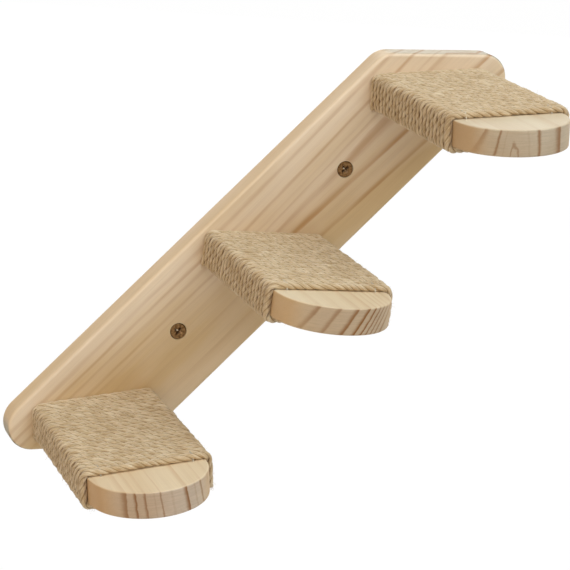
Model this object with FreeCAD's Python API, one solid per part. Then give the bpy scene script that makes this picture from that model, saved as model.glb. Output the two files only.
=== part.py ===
# Wall-mounted pet stairs: a slanted pine board that carries three treads wrapped in jute cord.
# Millimetres. X runs to the right, Y into the wall and Z up, with the wall at y = 0 and the
# origin behind the middle tread, halfway between the two wall screws.
import FreeCAD
import Part
import math
import os

from FreeCAD import Placement, Rotation, Vector

# Stock: the board and the treads are cut from one planed plank
stock_thickness = 18.0

# Treads
tread_names = ("lower", "middle", "upper")
tread_roll = (-6.0, 3.0, -3.5)   # degrees out of level, clockwise from the front, as fitted by hand
tread_step = 116.0               # from tread to tread, as far sideways as up
tread_width = 80.0
tread_straight = 130.0           # from the board to the half-round nose
cord_edge_round = 2.4            # long edges, where the cord bears on them
nose_edge_round = 1.2

# Board
board_width = 86.0               # across the long edges, which run at 45 degrees
board_end_margin = 25.5          # from an end tread's middle to the level end cut
board_corner_round = 18.0
board_edge_round = 2.5

# Cord round each tread
cord_diameter = 4.9
cord_gap = 0.8                   # from one turn to the next
cord_lift = 0.1                  # clearance from the wood
cord_board_gap = 0.4
cord_overrun = 1.0               # how far the last turn may reach onto the nose

# Staples that hold the first and last turns
staple_wire_width = 0.9
staple_wire_thickness = 0.6
staple_bite = 7.0                # how deep the legs go into the wood
staple_tip = 0.8
staple_edge_inset = 9.0          # from the tread's long edge
staple_clearance = 0.05
staple_turns = 2                 # how many turns a staple spans

# Screws: a wall screw goes through the board, a tread screw joins a tread to it from behind
wall_screw_length = 60.0
wall_screw_thread_r = 3.0
wall_screw_shank_r = 2.15
wall_screw_head_r = 5.8
wall_screw_recess = 6.6
wall_screw_clearance = 0.3
tread_screw_length = 60.0
tread_screw_thread_r = 2.5
tread_screw_shank_r = 1.75
tread_screw_head_r = 4.8
tread_screw_recess = 5.2
tread_screw_clearance = 0.1
tread_screw_spacing = 44.0
head_rim = 0.5
head_sink = 0.2                  # below the face that it is driven through
screw_tip = 6.0
recess_depth = 2.6
recess_arm = 1.2
recess_foot = 1.6                # width of the cross at its bottom
recess_turn = 20.0               # degrees that each next head stopped further round

# Sizes that follow from the ones above
nose_radius = tread_width / 2
cord_pitch = cord_diameter + cord_gap
cord_room = tread_straight + cord_overrun - cord_board_gap
cord_turns = math.floor((cord_room + cord_gap) / cord_pitch)
cord_bend = cord_edge_round + cord_lift + cord_diameter / 2
cord_half_width = tread_width / 2 + cord_lift + cord_diameter / 2
cord_half_height = stock_thickness / 2 + cord_lift + cord_diameter / 2
wrap_top = cord_half_height + cord_diameter / 2

board_front = -stock_thickness
tread_centres = [Vector((i - 1) * tread_step, board_front, (i - 1) * tread_step) for i in range(3)]
wall_screw_places = {"lower": -tread_step / 2, "upper": tread_step / 2}
into_wall = Vector(0, 1, 0)
out_of_wall = Vector(0, -1, 0)


def edges_where(shape, test):
    """The edges of a shape whose end points and middle all pass a test."""
    chosen = []
    for edge in shape.Edges:
        middle = edge.valueAt((edge.FirstParameter + edge.LastParameter) / 2)
        points = [vertex.Point for vertex in edge.Vertexes] + [middle]
        if all(test(point) for point in points):
            chosen.append(edge)
    return chosen


def runs_along_y(edge):
    """Whether an edge is straight and square to the board."""
    ends = [vertex.Point for vertex in edge.Vertexes]
    return len(ends) == 2 and abs((ends[1] - ends[0]).y) > 0.999 * edge.Length


def place(shape, base, direction):
    """A copy of a shape made along +Z, with its origin at base and +Z turned to a direction."""
    placed = shape.copy()
    placed.Placement = Placement(base, Rotation(Vector(0, 0, 1), direction))
    return placed


def revolve(profile):
    """A solid of revolution about Z from (radius, height) points."""
    points = [Vector(radius, 0, height) for radius, height in profile]
    face = Part.Face(Part.makePolygon(points + points[:1]))
    return face.revolve(Vector(0, 0, 0), Vector(0, 0, 1), 360)


def screw_spec(length, thread_r, shank_r, head_r, recess):
    """The sizes of one kind of countersunk screw, whose plain shank ends at the joint face."""
    return {
        "length": length,
        "thread_r": thread_r,
        "shank_r": shank_r,
        "head_r": head_r,
        "recess": recess,
        "shank_end": stock_thickness - head_sink,
    }


wall_screw = screw_spec(
    wall_screw_length, wall_screw_thread_r, wall_screw_shank_r, wall_screw_head_r, wall_screw_recess
)
tread_screw = screw_spec(
    tread_screw_length, tread_screw_thread_r, tread_screw_shank_r, tread_screw_head_r,
    tread_screw_recess,
)


def make_screw(spec, turn):
    """A countersunk screw with a cross recess: the head's top at z = 0 and the tip towards +Z."""
    head_r, shank_r, thread_r = spec["head_r"], spec["shank_r"], spec["thread_r"]
    body = revolve([
        (0, 0),
        (head_r, 0),
        (head_r, head_rim),
        (shank_r, head_rim + head_r - shank_r),
        (shank_r, spec["shank_end"]),
        (thread_r, spec["shank_end"]),
        (thread_r, spec["length"] - screw_tip),
        (0, spec["length"]),
    ])
    for angle in (turn, turn + 90):
        half, foot = spec["recess"] / 2, recess_foot / 2
        corners = [(-half, 0), (half, 0), (foot, recess_depth), (-foot, recess_depth)]
        points = [Vector(x, -recess_arm / 2, z) for x, z in corners]
        arm = Part.Face(Part.makePolygon(points + points[:1])).extrude(Vector(0, recess_arm, 0))
        arm.rotate(Vector(0, 0, 0), Vector(0, 0, 1), angle)
        body = body.cut(arm)
    return body


def screw_hole(spec, clearance):
    """What a screw's passage takes out of the board: its countersink and a hole right through."""
    wide, narrow = spec["head_r"] + clearance, spec["thread_r"] + clearance
    return revolve([
        (0, -head_sink),
        (wide, -head_sink),
        (wide, head_rim),
        (narrow, head_rim + wide - narrow),
        (narrow, spec["shank_end"]),
        (0, spec["shank_end"]),
    ])


def pilot_hole(spec, clearance):
    """What a screw takes out of the tread that it is driven into."""
    radius = spec["thread_r"] + clearance
    return revolve([
        (0, spec["shank_end"]),
        (radius, spec["shank_end"]),
        (radius, spec["length"] - screw_tip),
        (0, spec["length"] + clearance),
    ])


def wall_screw_base(name):
    """Where a wall screw's head lies."""
    along = wall_screw_places[name]
    return Vector(along, board_front + head_sink, along)


def tread_screw_bases(index):
    """Where the heads of one tread's two screws lie, in the back of the board."""
    centre = tread_centres[index]
    half = tread_screw_spacing / 2
    return {
        side: Vector(centre.x + sign * half, -head_sink, centre.z)
        for side, sign in (("left", -1), ("right", 1))
    }


def make_board():
    """The slanted board: level end cuts, rounded corners, eased edges and all its screw holes."""
    half_height = tread_step + board_end_margin
    half_cut = board_width / math.sqrt(2)
    corners = [
        (-half_height - half_cut, -half_height),
        (-half_height + half_cut, -half_height),
        (half_height + half_cut, half_height),
        (half_height - half_cut, half_height),
    ]
    points = [Vector(x, board_front, z) for x, z in corners]
    outline = Part.Face(Part.makePolygon(points + points[:1]))
    board = outline.extrude(Vector(0, stock_thickness, 0))
    board = board.makeFillet(board_corner_round, [e for e in board.Edges if runs_along_y(e)])
    rims = edges_where(board, lambda p: abs(p.y) < 1e-6 or abs(p.y - board_front) < 1e-6)
    board = board.makeFillet(board_edge_round, rims)
    for name in wall_screw_places:
        hole = screw_hole(wall_screw, wall_screw_clearance)
        board = board.cut(place(hole, wall_screw_base(name), into_wall))
    for index in range(len(tread_names)):
        for base in tread_screw_bases(index).values():
            hole = screw_hole(tread_screw, tread_screw_clearance)
            board = board.cut(place(hole, base, out_of_wall))
    return board


def make_tread():
    """A tread on its own: the board's front face is y = 0 and the nose points to -Y."""
    half = stock_thickness / 2
    corner = Vector(-tread_width / 2, -tread_straight, -half)
    plank = Part.makeBox(tread_width, tread_straight, stock_thickness, corner)
    plank = plank.makeFillet(cord_edge_round, [e for e in plank.Edges if runs_along_y(e)])
    nose = Part.makeCylinder(
        nose_radius, stock_thickness, Vector(0, -tread_straight, -half), Vector(0, 0, 1), 180
    )
    nose.rotate(Vector(0, -tread_straight, 0), Vector(0, 0, 1), 180)
    arcs = [e for e in nose.Edges if isinstance(e.Curve, Part.Circle)]
    nose = nose.makeFillet(nose_edge_round, arcs)
    return plank.fuse(nose).removeSplitter()


def turn_y(turn):
    """Where a turn of the cord lies along the tread."""
    return -(cord_board_gap + cord_diameter / 2 + turn * cord_pitch)


def cord_corners():
    """The cord's route: square over the top and sides, and on to the next turn underneath."""
    side, high = cord_half_width, cord_half_height
    corners = [Vector(-side, turn_y(0), -stock_thickness / 2)]
    for turn in range(cord_turns):
        y = turn_y(turn)
        corners += [Vector(-side, y, high), Vector(side, y, high)]
        if turn < cord_turns - 1:
            corners += [Vector(side, y, -high), Vector(-side, turn_y(turn + 1), -high)]
    return corners + [Vector(side, turn_y(cord_turns - 1), -stock_thickness / 2)]


def rounded_path(corners, radius):
    """Straight runs joined by tangent arcs of one radius."""
    edges = []
    start = corners[0]
    for before, corner, after in zip(corners, corners[1:], corners[2:]):
        inward = (before - corner).normalize()
        onward = (after - corner).normalize()
        half_angle = inward.getAngle(onward) / 2
        reach = radius / math.tan(half_angle)
        middle = (inward + onward).normalize() * (radius / math.sin(half_angle) - radius)
        arc_start, arc_end = corner + inward * reach, corner + onward * reach
        edges.append(Part.LineSegment(start, arc_start).toShape())
        edges.append(Part.Arc(arc_start, corner + middle, arc_end).toShape())
        start = arc_end
    edges.append(Part.LineSegment(start, corners[-1]).toShape())
    return Part.Wire(edges)


def least_gap(path):
    """The least distance between neighbouring turns of the cord, measured on points."""
    points = path.discretize(Distance=1.0)
    per_turn = len(points) / cord_turns
    nearest = math.inf
    for i, point in enumerate(points):
        for other in points[i + int(per_turn / 2): i + int(per_turn * 1.5)]:
            nearest = min(nearest, point.distanceToPoint(other))
    return nearest - cord_diameter


def make_wrap():
    """The cord wound round a tread, one unbroken tube."""
    path = rounded_path(cord_corners(), cord_bend)
    section = Part.Wire(Part.makeCircle(cord_diameter / 2, cord_corners()[0], Vector(0, 0, 1)))
    wrap = path.makePipeShell([section], True, False)
    plain_volume = math.pi * cord_diameter ** 2 / 4 * path.Length
    print(f"cord: {cord_turns} turns, {path.Length:.0f} mm long, bends of {cord_bend:.2f} mm")
    print(f"cord: volume over section times length {wrap.Volume / plain_volume:.4f}")
    print(f"cord: least gap between turns {least_gap(path):.2f} mm")
    return wrap


def staple_profile(tip, grow):
    """A staple's bent wire seen from the side: the crown along Y, the legs down into the wood."""
    thick = staple_wire_thickness + 2 * grow
    outer = staple_turns * cord_pitch / 2 + thick / 2
    inner = outer - thick
    top = wrap_top + staple_clearance + staple_wire_thickness + grow
    crown = top - thick
    foot = stock_thickness / 2 - staple_bite - grow
    return [
        (-outer, foot + tip), (-outer, crown), (-inner, top), (inner, top), (outer, crown),
        (outer, foot + tip), (inner, foot), (inner, crown), (-inner, crown), (-inner, foot),
    ]


def make_staple(x, y, tip, grow):
    """A staple with its crown across the turns of the cord, driven into a tread's top face."""
    wide = staple_wire_width + 2 * grow
    points = [Vector(x - wide / 2, y + along, z) for along, z in staple_profile(tip, grow)]
    return Part.Face(Part.makePolygon(points + points[:1])).extrude(Vector(wide, 0, 0))


def staple_set(tip=staple_tip, grow=0.0):
    """A tread's staples: two on top over the last turns, and one underneath over the first."""
    inset = tread_width / 2 - staple_edge_inset
    front = turn_y(cord_turns - 1) + (staple_turns - 1) * cord_pitch / 2
    rear = turn_y(0) - staple_turns * cord_pitch / 2
    under = make_staple(0, rear, tip, grow)
    under.rotate(Vector(0, 0, 0), Vector(0, 1, 0), 180)
    return {
        "front_left": make_staple(-inset, front, tip, grow),
        "front_right": make_staple(inset, front, tip, grow),
        "rear": under,
    }


def fit(shape, index):
    """A copy of a tread's piece where that tread is fitted to the board."""
    fitted = shape.copy()
    fitted.rotate(Vector(0, 0, 0), Vector(0, 1, 0), tread_roll[index])
    fitted.translate(tread_centres[index])
    return fitted


def make_parts():
    """Every piece by its name."""
    parts = {"back_board": make_board()}
    slotted = make_tread()
    for slot in staple_set(0.0, staple_clearance).values():
        slotted = slotted.cut(slot)
    wrap = make_wrap()
    heads = 0
    for index, name in enumerate(tread_names):
        tread = fit(slotted, index)
        for side, base in tread_screw_bases(index).items():
            tread = tread.cut(place(pilot_hole(tread_screw, tread_screw_clearance), base, out_of_wall))
            screw = make_screw(tread_screw, heads * recess_turn)
            parts[f"{name}_tread_screw_{side}"] = place(screw, base, out_of_wall)
            heads += 1
        parts[f"{name}_tread"] = tread
        parts[f"{name}_rope_wrap"] = fit(wrap, index)
        for spot, staple in staple_set().items():
            parts[f"{name}_staple_{spot}"] = fit(staple, index)
    for name in wall_screw_places:
        screw = make_screw(wall_screw, heads * recess_turn)
        parts[f"{name}_wall_screw"] = place(screw, wall_screw_base(name), into_wall)
        heads += 1
    return parts


os.makedirs("parts", exist_ok=True)
for node, shape in make_parts().items():
    shape.exportStep(f"parts/{node}.step")
    print(f"{node}: {len(shape.Solids)} solid, valid {shape.isValid()}, {shape.Volume:.0f} mm3")
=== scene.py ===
import math

import bpy
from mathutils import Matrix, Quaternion, Vector


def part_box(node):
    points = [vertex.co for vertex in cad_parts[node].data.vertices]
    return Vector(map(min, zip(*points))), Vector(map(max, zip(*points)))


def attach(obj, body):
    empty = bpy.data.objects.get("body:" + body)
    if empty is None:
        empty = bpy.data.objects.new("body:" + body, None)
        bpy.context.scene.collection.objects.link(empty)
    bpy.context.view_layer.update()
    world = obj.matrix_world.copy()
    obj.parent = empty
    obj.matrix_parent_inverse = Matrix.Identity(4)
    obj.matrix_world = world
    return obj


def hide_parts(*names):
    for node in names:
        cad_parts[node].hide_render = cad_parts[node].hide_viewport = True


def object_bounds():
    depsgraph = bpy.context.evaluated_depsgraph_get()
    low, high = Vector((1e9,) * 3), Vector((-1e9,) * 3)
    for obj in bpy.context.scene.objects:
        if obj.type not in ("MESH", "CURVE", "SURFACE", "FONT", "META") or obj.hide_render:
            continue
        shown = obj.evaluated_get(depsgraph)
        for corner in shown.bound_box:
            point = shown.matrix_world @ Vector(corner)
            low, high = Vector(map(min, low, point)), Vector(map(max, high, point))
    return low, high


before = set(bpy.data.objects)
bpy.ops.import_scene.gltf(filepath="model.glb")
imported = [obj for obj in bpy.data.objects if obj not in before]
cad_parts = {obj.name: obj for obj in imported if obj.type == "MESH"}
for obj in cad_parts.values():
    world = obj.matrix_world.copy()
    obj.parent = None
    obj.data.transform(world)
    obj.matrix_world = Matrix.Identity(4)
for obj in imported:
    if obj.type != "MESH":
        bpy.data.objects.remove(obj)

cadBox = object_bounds()
mm = 0.001
halfPlank = 9 * mm                # half a tread's thickness
noiseLow, noiseHigh = 0.3, 0.7    # nearly all of a noise lies between these
noiseMiddle = (0.5, 0.5, 0.5)
treadNames = ("lower", "middle", "upper")
print("frame: loaded", len(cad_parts), "nodes")


def srgb(code):
    # sRGB hex to the linear colour that shaders take
    parts = [int(code[i:i + 2], 16) / 255 for i in (1, 3, 5)]
    linear = [c / 12.92 if c <= 0.04045 else ((c + 0.055) / 1.055) ** 2.4 for c in parts]
    return (*linear, 1.0)


def addNode(tree, kind, inputs=None, stops=None, **settings):
    # inputs: socket name or number to a value, a socket or a node whose first output feeds it
    node = tree.nodes.new(kind)
    for name, value in settings.items():
        setattr(node, name, value)
    for socket, value in (inputs or {}).items():
        if isinstance(value, bpy.types.Node):
            value = value.outputs[0]
        if isinstance(value, bpy.types.NodeSocket):
            tree.links.new(value, node.inputs[socket])
        else:
            node.inputs[socket].default_value = value
    if stops:
        points = node.color_ramp.elements
        for spare in stops[2:]:
            points.new(1.0)
        for point, (place, level) in zip(points, stops):
            point.position = place
            point.color = level if isinstance(level, tuple) else (level, level, level, 1.0)
    return node


def newMaterial(name, **sockets):
    material = bpy.data.materials.new(name)
    material.use_nodes = True
    shader = material.node_tree.nodes["Principled BSDF"]
    for socket, value in sockets.items():
        shader.inputs[socket.replace("_", " ")].default_value = value
    return material, material.node_tree, shader


def treadPlace(name):
    # where a tread is fitted and how far it leans, read from its screws and staples
    screws = [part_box(f"{name}_tread_screw_{side}") for side in ("left", "right")]
    staples = [sum(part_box(f"{name}_staple_front_{side}"), Vector()) / 2 for side in ("left", "right")]
    middle = sum((corner for box in screws for corner in box), Vector()) / 4
    across = staples[1] - staples[0]
    lean = math.atan2(-across.z, across.x)
    return Vector((middle.x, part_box("back_board")[0].y, middle.z)), lean


treadPlaces = {name: treadPlace(name) for name in treadNames}

# Radiata pine, planed and lightly sanded, unfinished: wide pale rings, each ending in a thin brown
# line, long soft fibres, and greyer cut ends where those lines are darkest.
pine = {
    "late": "#B88F63",
    "streak": "#C09059",
    "endLine": "#835214",
    "endSharp": 1.9,              # a ring's line is finer on a cut end than on a face
    "lineStart": (0.86, 0.48),    # where in a year a line starts, a faint one and a dark one
    "lineFull": 0.97,
    "plainDark": (0.1, 0.3),      # how dark the wood is before the first ring and after the last
    "ringReach": 1.3,             # how far past the last ring it goes on
    "fibreWidth": 0.45 * mm,
    "fibreLength": 45 * mm,
    "fibreShade": 0.92,
    "fibreRelief": 0.5,           # how high the fibres stand against the rings' lines
    "wanderSize": 45 * mm,
    "driftReach": 8 * mm,         # the drift changes over this far to both sides of the middle
    "ragged": 1.3 * mm,           # how far a ring's line strays at once, and over what size
    "raggedSize": 3.5 * mm,
    "toneSize": 26 * mm,
    "toneSpan": (0.36, 0.66),     # where the pale tone ends and where the rich one is reached
    "toneSeed": 9,                # keeps the tones apart from the wander
    "fadeLength": 70 * mm,        # a ring's line fades and returns over this length
    "fadeLevels": (0.4, 1.2),
    "edgeSpan": (0.5, 0.9),       # how squarely it faces sideways where an edge starts, and is full
    "endSpan": (0.4, 0.9),        # the same for a cut end
    "sawWidth": 0.7 * mm,         # faint saw marks across a cut end
    "sawLength": 14 * mm,
    "sawShade": 0.86,
    "slowAlong": 0.15,            # the wander and the tones change this much slower along the plank
    "roughness": 0.6,
}

# Places are in mm on the face that shows, across the plank, from its middle.
# pith: the middle of the tree, across the plank and from the face. squeeze: rings flattened towards it.
# fan: how much the rings spread below the face, per metre, left and right of the pith.
# lopsided: rings wider on one side. drift: how the lines lean at the far end, at the low and high edge.
# lines: where a ring meets the face and how dark it is, at the far end and at the near one if it differs.
# after: the share of the next ring over which a line dies away. deepen: how much richer the wood gets
# across and along the plank, per metre, painted shade over its own tone. edge: painted shade on the
# planed sides. end: tones of the cut ends.
# early, blush: the pale wood's two tones. contrast: how strong the lines are on the faces.
# axes: along, across and through the plank.
planks = {
    "board": {
        "early": "#F1DEC2", "blush": "#DDC191", "axes": ("X", "Z", "Y"), "centre": (0, 0, 0), "turn": -45,
        "face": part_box("back_board")[0].y, "pith": (120 * mm, 78 * mm), "squeeze": 1.0, "fan": (0.0, 0.0),
        "lopsided": 1.0, "drift": (0.04, -0.04), "wander": 2.5 * mm, "contrast": 0.8, "seed": 3.1,
        "after": 0.32, "deepen": (3.0, 0.7), "edge": "#FBF8F2", "end": "#BDC6C9",
        "lines": [
            # the line at 27 mm is grain, made darker at its near end as painted shade beside the middle
            # tread
            (45, 0.1), (33.2, 0.55, 0.4), (27, 0.05, 0.6), (20.8, 0.75, 0.4),
            (13.2, 0.1, 0.42), (9.2, 0.35, 0.22), (2.2, 0.75, 0.12), (-7.1, 1.0, 0.05),
            (-12.7, 0.05, 0.22), (-22.8, 0.92, 0.05), (-28, 0.05, 0.25), (-45, 0.1),
        ],
    },
    "lower": {
        "early": "#E8D5B3", "blush": "#DEC6A0", "pith": (-60 * mm, 0.0), "seed": 7.4,
        "squeeze": 0.0, "fan": (0.0, 2.0), "contrast": 0.36, "deepen": (5.0, 0.0), "end": "#E4E0E8",
        "lines": [
            (-47, 0.4), (-37, 0.5), (-24, 0.72), (-18.4, 0.82), (-12.6, 0.62), (-7, 0.1), (-3, 0.55),
            (4.5, 0.1), (15, 0.92), (21.5, 0.15), (26.5, 0.82), (34, 0.3), (45, 0.5),
        ],
    },
    "middle": {
        "early": "#E6D5B4", "blush": "#DCC6A1", "pith": (-300 * mm, 0.0), "seed": 1.7,
        "squeeze": 0.0, "fan": (0.0, -1.85), "contrast": 0.42, "end": "#E0D9D7",
        "lines": [
            (-46, 0.3), (-33, 0.2), (-20.3, 0.6), (-8, 0.48), (4.4, 0.85), (12.8, 1.0),
            (18, 1.0), (22, 0.9), (25.5, 0.85), (29.5, 0.85), (34, 0.7), (46, 0.6),
        ],
    },
    "upper": {
        "early": "#E0D1B4", "blush": "#D6C2A1", "face": -halfPlank, "pith": (-13.9 * mm, -5 * mm),
        "squeeze": 0.16, "fan": (16.0, 0.0), "lopsided": 0.632, "contrast": 0.2, "seed": 5.2,
        "end": "#E9E7E8",
        "lines": [
            (-16, 0.5), (-20.5, 0.1), (-24.9, 0.75), (-35.6, 0.8), (-43, 0.1), (-50, 0.5), (-66, 0.5),
        ],
    },
}
for name, (centre, lean) in treadPlaces.items():
    planks[name] = {
        "axes": ("Y", "X", "Z"), "centre": tuple(centre), "turn": math.degrees(lean), "face": halfPlank,
        "lopsided": 1.0, "drift": (0.0, 0.0), "wander": 1.5 * mm, "after": 0.14, "deepen": (0.0, 0.0),
        # edge: painted shade on the treads' flanks
        "edge": "#E9D8C4", **planks[name],
    }


def ringStops(plank):
    # out from the pith: how many rings lie behind (red), how dark the next is at each end (green, blue)
    side, below = plank["pith"]
    rings = []
    for place, *dark in plank["lines"]:
        far = place * mm - side
        aside = min(far, far * plank["lopsided"])
        rings.append((math.hypot(aside, plank["squeeze"] * below), dark[0], dark[-1]))
    rings.sort()
    reach = pine["ringReach"] * rings[-1][0]
    last = len(rings) + 1
    stops = [(radius / reach, (count / last, *dark, 1.0)) for count, (radius, *dark) in enumerate(rings, 1)]
    before, after = pine["plainDark"]
    return reach, last, [(0.0, (0.0, before, before, 1.0)), *stops, (1.0, (1.0, after, after, 1.0))]


def pineMaterial(name, plank):
    material, tree, shader = newMaterial(name, Roughness=pine["roughness"])
    coords = addNode(tree, "ShaderNodeTexCoord")
    turn = (0, math.radians(plank["turn"]), 0)
    local = addNode(
        tree, "ShaderNodeMapping",
        {"Vector": coords.outputs["Object"], "Location": plank["centre"], "Rotation": turn},
        vector_type="TEXTURE",
    )
    parts = addNode(tree, "ShaderNodeSeparateXYZ", {0: local})
    along, across, through = (parts.outputs[axis] for axis in plank["axes"])

    # the tree's rings: distance from the pith, with a slow wander along the trunk
    slowly = addNode(tree, "ShaderNodeMath", {0: along, 1: pine["slowAlong"]}, operation="MULTIPLY")
    slow = addNode(tree, "ShaderNodeCombineXYZ", {0: slowly, 1: across, 2: through})
    wander = addNode(
        tree, "ShaderNodeTexNoise",
        {"Vector": slow, "W": plank["seed"], "Scale": 1 / pine["wanderSize"], "Detail": 2.0},
        noise_dimensions="4D",
    )
    pushes = addNode(tree, "ShaderNodeSeparateColor", {0: wander.outputs["Color"]})
    low, high = plank["drift"]
    drift = pine["driftReach"]
    slope = addNode(tree, "ShaderNodeMapRange", {0: across, 1: -drift, 2: drift, 3: low, 4: high})
    upward = addNode(tree, "ShaderNodeMath", {0: along, 1: 0.0}, operation="MAXIMUM")
    sideways = addNode(tree, "ShaderNodeMath", {0: upward, 1: slope, 2: across}, operation="MULTIPLY_ADD")
    side, below = plank["pith"]
    offsets = []
    for start, push, pith in zip((sideways, through), pushes.outputs, (side, plank["face"] + below)):
        middle = addNode(
            tree, "ShaderNodeMath", {0: start, 1: pith + plank["wander"] / 2}, operation="SUBTRACT"
        )
        offsets.append(addNode(
            tree, "ShaderNodeMath", {0: push, 1: plank["wander"], 2: middle}, operation="MULTIPLY_ADD"
        ))
    depth = addNode(tree, "ShaderNodeMath", {0: plank["face"], 1: through}, operation="SUBTRACT")
    beyond = addNode(tree, "ShaderNodeMath", {0: offsets[0], 1: 0.0}, operation="GREATER_THAN")
    left, right = plank["fan"]
    fan = addNode(tree, "ShaderNodeMapRange", {0: beyond, 3: left, 4: right})
    spread = addNode(tree, "ShaderNodeMath", {0: depth, 1: fan, 2: 1.0}, operation="MULTIPLY_ADD")
    fanned = addNode(tree, "ShaderNodeMath", {0: offsets[0], 1: spread}, operation="DIVIDE")
    wider = addNode(tree, "ShaderNodeMath", {0: fanned, 1: plank["lopsided"]}, operation="MULTIPLY")
    aside = addNode(tree, "ShaderNodeMath", {0: fanned, 1: wider}, operation="MINIMUM")
    pressed = addNode(tree, "ShaderNodeMath", {0: offsets[1], 1: plank["squeeze"]}, operation="MULTIPLY")
    flat = addNode(tree, "ShaderNodeCombineXYZ", {0: aside, 1: pressed})
    radius = addNode(tree, "ShaderNodeVectorMath", {0: flat}, operation="LENGTH")
    reach, last, stops = ringStops(plank)
    rough = addNode(
        tree, "ShaderNodeTexNoise", {"Vector": slow, "Scale": 1 / pine["raggedSize"], "Detail": 2.0}
    )
    ragged = addNode(
        tree, "ShaderNodeMath", {0: rough, 1: pine["ragged"], 2: radius.outputs["Value"]},
        operation="MULTIPLY_ADD",
    )
    middle = addNode(tree, "ShaderNodeMath", {0: ragged, 1: pine["ragged"] / 2}, operation="SUBTRACT")
    share = addNode(tree, "ShaderNodeMath", {0: middle, 1: reach}, operation="DIVIDE")
    rings = addNode(tree, "ShaderNodeValToRGB", {0: share}, stops=stops)
    ring = addNode(tree, "ShaderNodeSeparateColor", {0: rings})
    years = addNode(tree, "ShaderNodeMath", {0: ring.outputs[0], 1: last}, operation="MULTIPLY")
    season = addNode(tree, "ShaderNodeMath", {0: years}, operation="FRACT")
    half = pine["fadeLength"] / 2
    farther = addNode(
        tree, "ShaderNodeMapRange", {0: along, 1: -half, 2: half}, interpolation_type="SMOOTHSTEP"
    )
    dark = addNode(
        tree, "ShaderNodeMix", {0: farther, 2: ring.outputs[2], 3: ring.outputs[1]}, data_type="FLOAT"
    )
    # a dark line is wide too, and its outer edge is sharper than its inner one
    faint, strong = pine["lineStart"]
    start = addNode(tree, "ShaderNodeMapRange", {0: dark, 3: faint, 4: strong})
    rise = addNode(
        tree, "ShaderNodeMapRange", {0: season, 1: start, 2: pine["lineFull"]},
        interpolation_type="SMOOTHSTEP",
    )
    fall = addNode(
        tree, "ShaderNodeMapRange", {0: season, 2: plank["after"], 3: 1.0, 4: 0.0},
        interpolation_type="SMOOTHSTEP",
    )
    late = addNode(tree, "ShaderNodeMath", {0: rise, 1: fall}, operation="MAXIMUM")
    ringMark = addNode(tree, "ShaderNodeMath", {0: late, 1: dark}, operation="MULTIPLY")

    # on the faces a line fades and returns
    faded = addNode(tree, "ShaderNodeMath", {0: along, 1: pine["fadeLength"]}, operation="DIVIDE")
    spot = addNode(tree, "ShaderNodeCombineXYZ", {0: faded, 1: years, 2: plank["seed"]})
    fade = addNode(tree, "ShaderNodeTexNoise", {"Vector": spot, "Scale": 1.0, "Detail": 1.0})
    least, most = pine["fadeLevels"]
    kept = addNode(tree, "ShaderNodeMapRange", {0: fade, 1: noiseLow, 2: noiseHigh, 3: least, 4: most})
    faceMark = addNode(tree, "ShaderNodeMath", {0: ringMark, 1: kept}, operation="MULTIPLY")

    # fine fibres and broad tones, with the rings' lines over them
    thin = [(along, pine["fibreLength"]), (across, pine["fibreWidth"]), (through, pine["fibreWidth"])]
    threads = [
        addNode(tree, "ShaderNodeMath", {0: axis, 1: size}, operation="DIVIDE") for axis, size in thin
    ]
    thread = addNode(tree, "ShaderNodeCombineXYZ", dict(enumerate(threads)))
    fibre = addNode(tree, "ShaderNodeTexNoise", {"Vector": thread, "Scale": 1.0, "Detail": 3.0})
    broad = addNode(
        tree, "ShaderNodeTexNoise",
        {
            "Vector": slow, "W": plank["seed"] + pine["toneSeed"], "Scale": 1 / pine["toneSize"],
            "Detail": 3.0,
        },
        noise_dimensions="4D",
    )
    # the steady deepening across and along adds painted shade over the broad tone
    deeper = broad
    for axis, rate in zip((across, along), plank["deepen"]):
        deeper = addNode(tree, "ShaderNodeMath", {0: axis, 1: -rate, 2: deeper}, operation="MULTIPLY_ADD")
    pale, rich = pine["toneSpan"]
    tone = addNode(
        tree, "ShaderNodeValToRGB", {0: deeper},
        stops=[(pale, srgb(plank["early"])), (rich, srgb(plank["blush"]))],
    )
    lateColour = addNode(
        tree, "ShaderNodeMix", {0: dark, 6: srgb(pine["late"]), 7: srgb(pine["streak"])},
        data_type="RGBA",
    )
    lineShare = addNode(tree, "ShaderNodeMath", {0: faceMark, 1: plank["contrast"]}, operation="MULTIPLY")
    ringed = addNode(
        tree, "ShaderNodeMix", {0: lineShare, 6: tone, 7: lateColour.outputs[2]}, data_type="RGBA"
    )
    shade = addNode(
        tree, "ShaderNodeMapRange", {0: fibre, 1: noiseLow, 2: noiseHigh, 3: pine["fibreShade"], 4: 1.0}
    )
    grained = addNode(
        tree, "ShaderNodeMix", {0: 1.0, 6: ringed.outputs[2], 7: shade},
        data_type="RGBA", blend_type="MULTIPLY",
    )
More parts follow.
